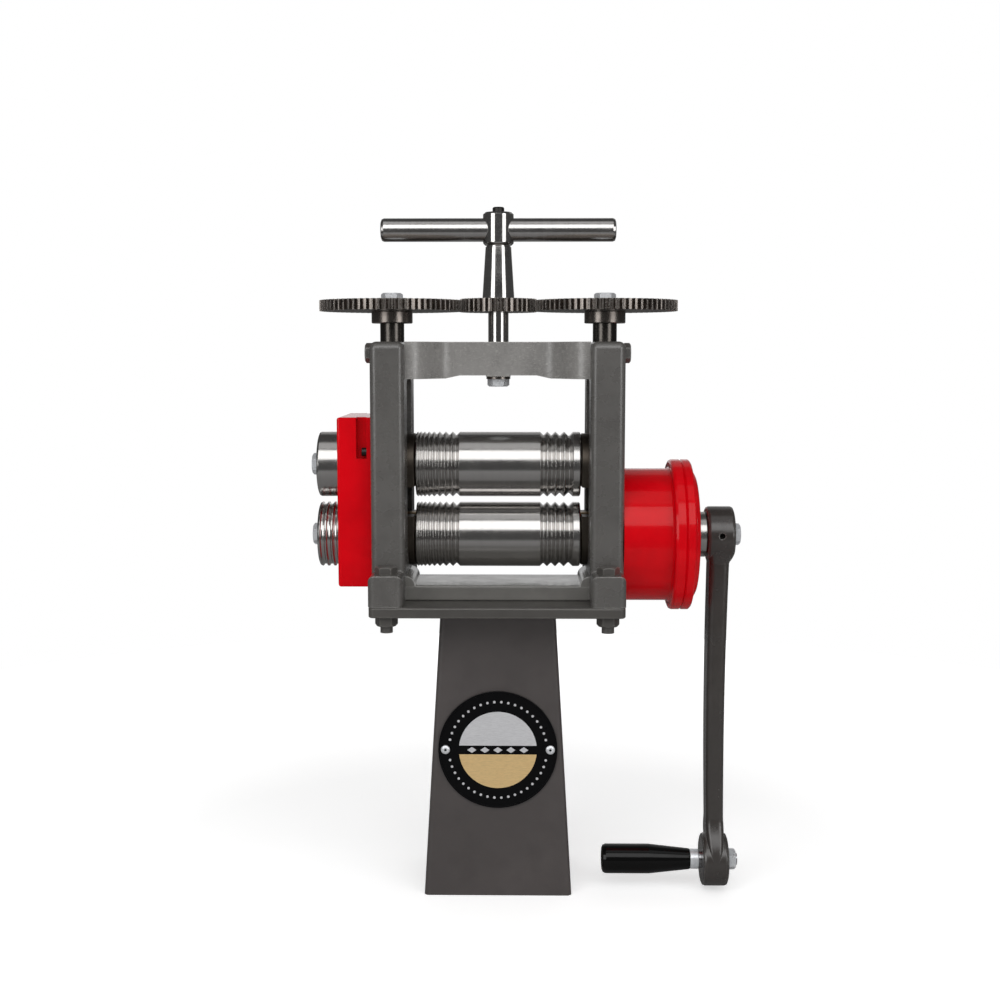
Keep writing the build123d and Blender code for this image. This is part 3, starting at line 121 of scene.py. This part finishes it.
def add_object(name, data):
    """Puts an object that shows the data into the scene."""
    made = bpy.data.objects.new(name, data)
    bpy.context.scene.collection.objects.link(made)
    return made


# ---------------------------------------------------------------- materials


class Shader:
    """A Principled material under construction, in metres of the row frame."""

    def __init__(self, name, colour, metallic, roughness, sockets=()):
        self.material = bpy.data.materials.new(name)
        self.material.use_nodes = True
        self.tree = self.material.node_tree
        self.shader = self.tree.nodes["Principled BSDF"]
        self.shader.inputs["Metallic"].default_value = metallic
        for socket, value in dict(sockets).items():
            self.shader.inputs[socket].default_value = value
        self.colour = colour
        self.roughness = roughness
        self.place = self.node("ShaderNodeTexCoord").outputs["Object"]
        self.height = None

    def node(self, kind, inputs=(), **settings):
        """Adds a node to the material."""
        return add_node(self.tree, kind, inputs, **settings)

    def noise(self, scale, detail=3.0, vector=None, roughness=0.55):
        """Value noise between 0 and 1."""
        return self.node("ShaderNodeTexNoise", {
            "Vector": vector or self.place, "Scale": scale, "Detail": detail,
            "Roughness": roughness}).outputs["Fac"]

    def stretched(self, scale):
        """Coordinates stretched by a different factor along each axis."""
        return self.node("ShaderNodeMapping", {"Vector": self.place, "Scale": scale}).outputs[0]

    def turned(self, axis, centre, along, across):
        """Coordinates that vary only along a lathe axis and with the distance from it."""
        keep = {"X": (0, 1, 1), "Z": (1, 1, 0)}[axis]
        offset = self.node("ShaderNodeVectorMath", {0: self.place, 1: centre},
                           operation="SUBTRACT").outputs[0]
        radial = self.node("ShaderNodeVectorMath", {0: offset, 1: keep},
                           operation="MULTIPLY").outputs[0]
        radius = self.node("ShaderNodeVectorMath", {0: radial}, operation="LENGTH").outputs["Value"]
        parts = self.node("ShaderNodeSeparateXYZ", {0: offset})
        length = self.node("ShaderNodeMath", {0: parts.outputs[axis], 1: along},
                           operation="MULTIPLY").outputs[0]
        radius = self.node("ShaderNodeMath", {0: radius, 1: across}, operation="MULTIPLY").outputs[0]
        return self.node("ShaderNodeCombineXYZ", {0: length, 1: radius}).outputs[0]

    def remap(self, value, low, high, start=0.0, end=1.0):
        """Value between low and high brought to the range start to end, and held there."""
        return self.node("ShaderNodeMapRange", {
            "Value": value, "From Min": low, "From Max": high, "To Min": start, "To Max": end,
        }).outputs["Result"]

    def tint(self, other, share):
        """Mixes another colour in by a share between 0 and 1."""
        mix = self.node("ShaderNodeMix", data_type="RGBA")
        self.tree.links.new(share, mix.inputs["Factor"])
        for socket, value in ((mix.inputs[6], self.colour), (mix.inputs[7], other)):
            if isinstance(value, bpy.types.NodeSocket):
                self.tree.links.new(value, socket)
            else:
                socket.default_value = (*value, 1.0)
        self.colour = mix.outputs[2]

    def vary_roughness(self, value, spread):
        """Lets the roughness follow a value between 0 and 1."""
        self.roughness = self.remap(value, 0.25, 0.75, self.roughness - spread,
                                    self.roughness + spread)

    def bump(self, value, depth):
        """Adds relief of a depth in metres."""
        bump = self.node("ShaderNodeBump", {"Height": value, "Distance": depth, "Strength": 1.0})
        if self.height:
            self.tree.links.new(self.height, bump.inputs["Normal"])
        self.height = bump.outputs[0]

    def rounded(self, radius):
        """Softens sharp edges in the shading. It comes before any relief."""
        self.height = self.node("ShaderNodeBevel", {"Radius": radius}, samples=4).outputs[0]

    def worn_and_highlit_edges(self, colour, radius, low=0.02, high=0.12):
        """Shows another colour where the surface turns sharply: rubbed wear, and a painted highlight
        along the edges.
        """
        bevel = self.node("ShaderNodeBevel", {"Radius": radius}, samples=4).outputs[0]
        plain = self.node("ShaderNodeNewGeometry").outputs["Normal"]
        likeness = self.node("ShaderNodeVectorMath", {0: bevel, 1: plain},
                             operation="DOT_PRODUCT").outputs["Value"]
        turn = self.node("ShaderNodeMath", {0: 1.0, 1: likeness}, operation="SUBTRACT").outputs[0]
        patchy = self.node("ShaderNodeMath", {0: turn, 1: self.noise(260, 4)},
                           operation="MULTIPLY").outputs[0]
        self.tint(colour, self.remap(patchy, low, high))

    def done(self):
        """Links what was made to the shader."""
        for socket, value in (("Base Color", self.colour), ("Roughness", self.roughness)):
            if isinstance(value, bpy.types.NodeSocket):
                self.tree.links.new(value, self.shader.inputs[socket])
            elif socket == "Roughness":
                self.shader.inputs[socket].default_value = value
            else:
                self.shader.inputs[socket].default_value = (*value, 1.0)
        if self.height:
            self.tree.links.new(self.height, self.shader.inputs["Normal"])
        return self.material


def painted_casting(name, colour, roughness, edge, grain=0.00012, scratches=0.0):
    """Satin paint over cast iron: soft unevenness, fine pits, filing marks, and pale edges that are
    partly rubbed paint and partly a painted highlight.
    """
    look = Shader(name, colour, 0.0, roughness, {"Specular IOR Level": 0.9})
    lighter = tuple(min(1.0, part * 1.45) for part in colour)
    darker = tuple(part * 0.66 for part in colour)
    look.tint(lighter, look.remap(look.noise(9, 4), 0.45, 0.75, 0.0, 0.7))
    look.tint(darker, look.remap(look.noise(45, 3), 0.5, 0.8, 0.0, 0.4))
    if scratches:
        marks = look.noise(1.0, 3, look.stretched((260, 260, 1400)))
        look.tint(edge, look.remap(marks, 0.56, 0.70, 0.0, scratches))
    look.rounded(1.5 * mm)
    if scratches:
        look.bump(marks, 0.00012)
    # Pale edge colour: partly rubbed paint, partly a painted highlight along the rounded edges.
    look.worn_and_highlit_edges(edge, 2.0 * mm)
    look.vary_roughness(look.noise(60, 4), 0.06)
    look.bump(look.noise(38, 2), grain * 2.5)
    look.bump(look.noise(650, 3), grain * 0.3)
    return look.done()


def turned_steel(name, colour, roughness, axis="X", centre=(0, 0, 0), mark=0.25, pitch=1600):
    """Lathe-turned or ground steel: rings about its axis and a little staining."""
    look = Shader(name, colour, 1.0, roughness)
    rings = look.turned(axis, centre, pitch, pitch)
    fine = look.noise(1.0, 2, rings)
    dark = tuple(part * (1 - mark) for part in colour)
    look.tint(dark, look.remap(fine, 0.42, 0.68, 0.0, 0.7))
    look.tint(dark, look.remap(look.noise(0.16, 2, rings), 0.45, 0.65, 0.0, 0.5))
    look.tint(dark, look.remap(look.noise(38, 4), 0.5, 0.8, 0.0, 0.5))
    look.rounded(0.35 * mm)
    look.vary_roughness(look.noise(60, 3), 0.04)
    look.bump(fine, 0.000006)
    return look.done()


def plain_steel(name, colour, roughness, stain=(0.1, 0.085, 0.07), stretch=(1, 1, 1), scale=700,
                edge=None, metallic=1.0):
    """Milled, plated or oiled steel with fine scratches along one direction."""
    look = Shader(name, colour, metallic, roughness)
    grain = look.noise(scale, 3, look.stretched(stretch))
    look.tint(tuple(part * 0.8 for part in colour), look.remap(grain, 0.42, 0.68, 0.0, 0.7))
    look.tint(stain, look.remap(look.noise(60, 4), 0.5, 0.85, 0.0, 0.4))
    look.rounded(0.4 * mm)
    if edge:
        # Paler colour on sharp edges: partly worn metal, partly a painted highlight.
        look.worn_and_highlit_edges(edge, 0.8 * mm)
    look.vary_roughness(look.noise(120, 3), 0.05)
    look.bump(grain, 0.000006)
    return look.done()


def gloss_paint(name, colour, roughness, coat, specular=0.4):
    """Thick gloss paint or plastic with orange peel and a few dull handling marks."""
    look = Shader(name, colour, 0.0, roughness, {
        "Coat Weight": coat, "Coat Roughness": 0.05, "Specular IOR Level": specular})
    look.tint(tuple(part * 0.72 for part in colour), look.remap(look.noise(22, 3), 0.42, 0.75, 0, 0.7))
    look.rounded(0.9 * mm)
    look.vary_roughness(look.noise(85, 4), 0.05)
    look.bump(look.noise(230, 2), 0.00003)
    look.bump(look.noise(40, 2), 0.0001)
    return look.done()


low_centre = (0, 0, middle("lower_roll", 2))
high_centre = (0, 0, middle("upper_roll", 2))
grip_centre = (0, 0, middle("handle_grip", 2))
bar_centre = (0, 0, middle("handle_bar", 2))
left_centre = (middle("adjuster_gear_left", 0), middle("adjuster_gear_left", 1), 0)
right_centre = (-left_centre[0], left_centre[1], 0)

# The last colour given to each casting is its pale edge colour: partly rubbed paint, partly a painted
# highlight.
casting = painted_casting("casting_paint", (0.094, 0.090, 0.085), 0.28, (0.42, 0.41, 0.39))
# The crossbar has the frames' paint made lighter and glossier; the lighter colour is a painted sheen
# for its bright top.
crossbar_casting_with_painted_sheen = painted_casting("crossbar_paint_with_painted_sheen", (0.15, 0.145, 0.135), 0.20,
                                   (0.45, 0.44, 0.42))
tie_casting = painted_casting("tie_bar_paint", (0.215, 0.208, 0.200), 0.28, (0.50, 0.49, 0.46),
                              0.0002, 0.6)
pedestal = painted_casting("pedestal_paint", (0.066, 0.057, 0.055), 0.34, (0.20, 0.19, 0.18),
                           0.00004)
plate_paint = painted_casting("plate_paint", (0.062, 0.058, 0.053), 0.34, (0.22, 0.21, 0.19))
crank_paint = painted_casting("crank_paint", (0.040, 0.035, 0.032), 0.24, (0.30, 0.29, 0.28))
chock_iron = plain_steel("chock_iron", (0.10, 0.085, 0.07), 0.40, scale=500)
bronze = turned_steel("bronze", (0.50, 0.33, 0.15), 0.35, "X", low_centre)
red = gloss_paint("red_paint", (0.68, 0.001, 0.006), 0.20, 0.25, 0.12)
grip_black = gloss_paint("grip_black", (0.004, 0.004, 0.004), 0.12, 0.15, 0.2)
black_steel = plain_steel("black_steel", (0.055, 0.052, 0.05), 0.42)
zinc = plain_steel("zinc", (0.93, 0.95, 0.98), 0.30, (0.50, 0.52, 0.55), scale=420,
                   metallic=0.5)
spring_steel = plain_steel("spring_steel", (0.30, 0.30, 0.30), 0.32)
gear_steel = plain_steel("gear_steel", (0.28, 0.25, 0.228), 0.28, (0.10, 0.08, 0.065), scale=320,
                         edge=(0.55, 0.53, 0.50))
roll_colour = (0.60, 0.585, 0.57)
lower_roll_steel = turned_steel("lower_roll_steel", roll_colour, 0.19, "X", low_centre, 0.08)
upper_roll_steel = turned_steel("upper_roll_steel", roll_colour, 0.19, "X", high_centre, 0.08)
handle_colour = (0.62, 0.605, 0.59)
bar_steel = turned_steel("handle_bar_steel", handle_colour, 0.19, "X", bar_centre, 0.12)
column_steel = turned_steel("handle_column_steel", handle_colour, 0.11, "Z", mark=0.12)
collar_steel = turned_steel("collar_steel", handle_colour, 0.22, "X", low_centre)
spindle_steel = turned_steel("grip_spindle_steel", (0.6, 0.6, 0.62), 0.22, "X", grip_centre)
screw_colour = (0.12, 0.11, 0.10)
left_screw_steel = turned_steel("left_screw_steel", screw_colour, 0.24, "Z", left_centre)
right_screw_steel = turned_steel("right_screw_steel", screw_colour, 0.24, "Z", right_centre)
badge_black = gloss_paint("badge_black", (0.004, 0.004, 0.0045), 0.30, 0.0, 0.1)

finishes = {
    casting: ["side_frame_left", "side_frame_right", "tie_bolts"],
    crossbar_casting_with_painted_sheen: ["bottom_crossbar"],
    plate_paint: ["stand_top_plate", "foot_bolts", "foot_nuts"],
    tie_casting: ["top_tie_bar"],
    pedestal: ["stand_column", "stand_foot_plate"],
    crank_paint: ["crank_arm"],
    chock_iron: ["lower_chocks", "upper_chocks"],
    bronze: ["lower_bushes", "upper_bushes", "cap_bush"],
    red: ["gear_guard", "gearbox_body", "gearbox_cap"],
    grip_black: ["handle_grip"],
    black_steel: ["guard_screws", "gearbox_screws", "cap_screws", "crank_set_screw",
                  "handle_lock_screw"],
    zinc: ["badge_rivets", "crossbar_bolts", "lower_side_roll_bolt", "upper_side_roll_bolt",
           "crank_end_bolt", "grip_nut", "grip_ferrule", "adjuster_gear_bolt_left",
           "adjuster_gear_bolt_right", "spindle_bolt"],
    spring_steel: ["lift_springs"],
    gear_steel: ["lower_sync_gear", "upper_sync_gear", "ring_gear", "planet_carrier",
                 "planet_gear_1", "planet_gear_2", "planet_gear_3", "adjuster_gear_left",
                 "adjuster_gear_right", "adjuster_pinion", "thrust_pads", "spindle_washer"],
    lower_roll_steel: ["lower_roll", "lower_side_roll"],
    upper_roll_steel: ["upper_roll", "upper_side_roll"],
    bar_steel: ["handle_bar"],
    column_steel: ["handle_column"],
    collar_steel: ["crank_collar", "crank_shaft"],
    spindle_steel: ["grip_spindle"],
    left_screw_steel: ["adjusting_screw_left"],
    right_screw_steel: ["adjusting_screw_right"],
    badge_black: ["badge_plate"],
}
for finish, names in finishes.items():
    for name in names:
        nodes[name].data.materials.clear()
        nodes[name].data.materials.append(finish)


# ---------------------------------------------------------------- lift springs

coils = add_object("lift_spring_coils", nodes["lift_springs"].data.copy())
coils.matrix_world = nodes["lift_springs"].matrix_world.copy()
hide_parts("lift_springs")
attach(coils, "frame")
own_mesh(coils)


# ---------------------------------------------------------------- badge emblem


def plate_piece(name, outlines, material):
    """Thin raised piece on the badge, from closed outlines of (across, up) points."""
    mesh = bmesh.new()
    for outline in outlines:
        back = [mesh.verts.new(badge_centre + Vector((x, emblem_seat, z))) for x, z in outline]
        front = [mesh.verts.new(badge_centre + Vector((x, -emblem_relief, z)))
                 for x, z in outline]
        mesh.faces.new(front)
        mesh.faces.new(list(reversed(back)))
        for i, corner in enumerate(back):
            after = (i + 1) % len(back)
            mesh.faces.new((corner, back[after], front[after], front[i]))
    bmesh.ops.recalc_face_normals(mesh, faces=mesh.faces)
    data = bpy.data.meshes.new(name)
    mesh.to_mesh(data)
    mesh.free()
    data.materials.append(material)
    piece = add_object(name, data)
    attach(piece, "frame")


def arc(radius, start, end, steps, centre=(0, 0)):
    """Points along an arc, in degrees from +X."""
    turns = [radians(start + (end - start) * i / steps) for i in range(steps + 1)]
    return [(centre[0] + radius * cos(turn), centre[1] + radius * sin(turn)) for turn in turns]


silver = plain_steel("emblem_silver", (0.84, 0.84, 0.86), 0.50, (0.70, 0.70, 0.72), (1, 1, 12), 260,
                     metallic=0.55)
gold = plain_steel("emblem_gold", (0.95, 0.68, 0.33), 0.50, (0.80, 0.54, 0.24), (1, 1, 12), 260,
                   metallic=0.55)

lean = degrees(asin(emblem_band / 2 / emblem_radius))
plate_piece("emblem_upper", [arc(emblem_radius, lean, 180 - lean, half_disc_steps)], silver)
plate_piece("emblem_lower", [arc(emblem_radius, 180 + lean, 360 - lean, half_disc_steps)], gold)
lozenges = []
for place in range(-2, 3):
    middle_x = place * lozenge_pitch
    lozenges.append([(middle_x - lozenge_half_width, 0), (middle_x, -lozenge_half_height),
                     (middle_x + lozenge_half_width, 0), (middle_x, lozenge_half_height)])
plate_piece("emblem_lozenges", lozenges, silver)
dots = []
dot_end = 360 - 360 / dot_steps
for i in range(dot_count):
    turn = 360 * (i + 0.5) / dot_count
    if abs((turn + 90) % 180 - 90) > dot_free_angle:
        dot_centre = arc(dot_ring_radius, turn, turn, 1)[0]
        dots.append(arc(dot_radius, 0, dot_end, dot_steps - 1, dot_centre))
plate_piece("emblem_dots", dots, silver)


# ---------------------------------------------------------------- floor, light and camera

floor_mesh = bpy.data.meshes.new("floor")
floor_edge = [(floor_radius * cos(2 * pi * i / floor_edge_corners),
               floor_radius * sin(2 * pi * i / floor_edge_corners), 0)
              for i in range(floor_edge_corners)]
floor_mesh.from_pydata(floor_edge, [], [list(range(floor_edge_corners))])
add_object("floor", floor_mesh)
floor_look = Shader("floor", (0.86, 0.86, 0.86), 0.0, 0.9)
floor_look.tint((0.82, 0.82, 0.82), floor_look.remap(floor_look.noise(3, 3), 0.4, 0.7))
sight = floor_look.node("ShaderNodeLightPath")
floor_look.tint(mirrored_floor, sight.outputs["Is Glossy Ray"])
mirrored_glow = floor_look.node("ShaderNodeMath", {0: sight.outputs["Is Glossy Ray"],
                                                   1: floor_mirrored_share}, operation="MULTIPLY")
seen = floor_look.node("ShaderNodeMath", {0: sight.outputs["Is Camera Ray"],
                                          1: mirrored_glow.outputs[0]}, operation="MAXIMUM")
distance = floor_look.node("ShaderNodeVectorMath", {0: floor_look.place}, operation="LENGTH")
glow = floor_look.node("ShaderNodeMath", {
    0: seen.outputs[0],
    1: floor_look.remap(distance.outputs["Value"], floor_fade_start, floor_fade_end,
                        floor_glow_near, 1.0),
}, operation="MULTIPLY")
floor_look.shader.inputs["Emission Color"].default_value = (1, 1, 1, 1)
floor_look.tree.links.new(glow.outputs[0], floor_look.shader.inputs["Emission Strength"])
floor_mesh.materials.append(floor_look.done())

world = bpy.data.worlds.new("studio")
bpy.context.scene.world = world
world.use_nodes = True
sky = world.node_tree

# White to the camera and through glass. In reflections the backdrop behind the mill is pale, and
# the rest of the room is dim.
path = add_node(sky, "ShaderNodeLightPath").outputs
direction = add_node(sky, "ShaderNodeTexCoord").outputs["Generated"]
parts = add_node(sky, "ShaderNodeSeparateXYZ", {0: direction}).outputs
backdrop = add_node(sky, "ShaderNodeMapRange", {
    "Value": parts["Y"], "From Min": backdrop_edge[0], "From Max": backdrop_edge[1],
    "To Min": room_reflection, "To Max": backdrop_reflection}).outputs[0]
mirrored = add_node(sky, "ShaderNodeMapRange", {
    "Value": parts["Z"], "From Min": horizon[0], "From Max": horizon[1],
    "To Min": room_reflection, "To Max": backdrop}).outputs[0]
glossy = add_node(sky, "ShaderNodeMix", {
    0: path["Is Glossy Ray"], 2: ambient_strength, 3: mirrored}).outputs[0]
white = add_node(sky, "ShaderNodeMath", {
    0: path["Is Camera Ray"], 1: path["Is Transmission Ray"]}, operation="MAXIMUM").outputs[0]
strength = add_node(sky, "ShaderNodeMix", {0: white, 2: glossy, 3: 1.0}).outputs[0]
background = sky.nodes["Background"]
background.inputs["Color"].default_value = (1, 1, 1, 1)
sky.links.new(strength, background.inputs["Strength"])


def softbox(name, place, width, height, power):
    """Rectangular area light aimed at the middle of the mill."""
    light = bpy.data.lights.new(name, "AREA")
    light.shape = "RECTANGLE"
    light.size = width
    light.size_y = height
    light.energy = power
    lamp = add_object(name, light)
    lamp.location = place
    aim = mill_middle - Vector(place)
    lamp.rotation_euler = aim.to_track_quat("-Z", "Y").to_euler()


mill_middle = Vector((0, 0, 0.42))
softbox("key_left", (-1.5, -1.75, 1.0), 1.1, 1.4, 12)
softbox("key_right", (1.6, -1.65, 0.95), 1.0, 1.4, 11)
softbox("front", (0, -1.532, 1.56), 1.9, 1.145, 13)
softbox("top", (0, -0.5, 1.95), 2.0, 0.75, 2.2)
softbox("back", (0.3, 1.9, 1.5), 2.2, 1.4, 2.5)

camera_data = bpy.data.cameras.new("camera")
camera_data.lens = camera_lens
camera_data.sensor_width = sensor_width
camera = add_object("camera", camera_data)
camera.location = camera_place
camera.rotation_euler = (pi / 2 - camera_tilt, 0, camera_turn)
bpy.context.scene.camera = camera
bpy.context.scene.view_settings.view_transform = "Standard"
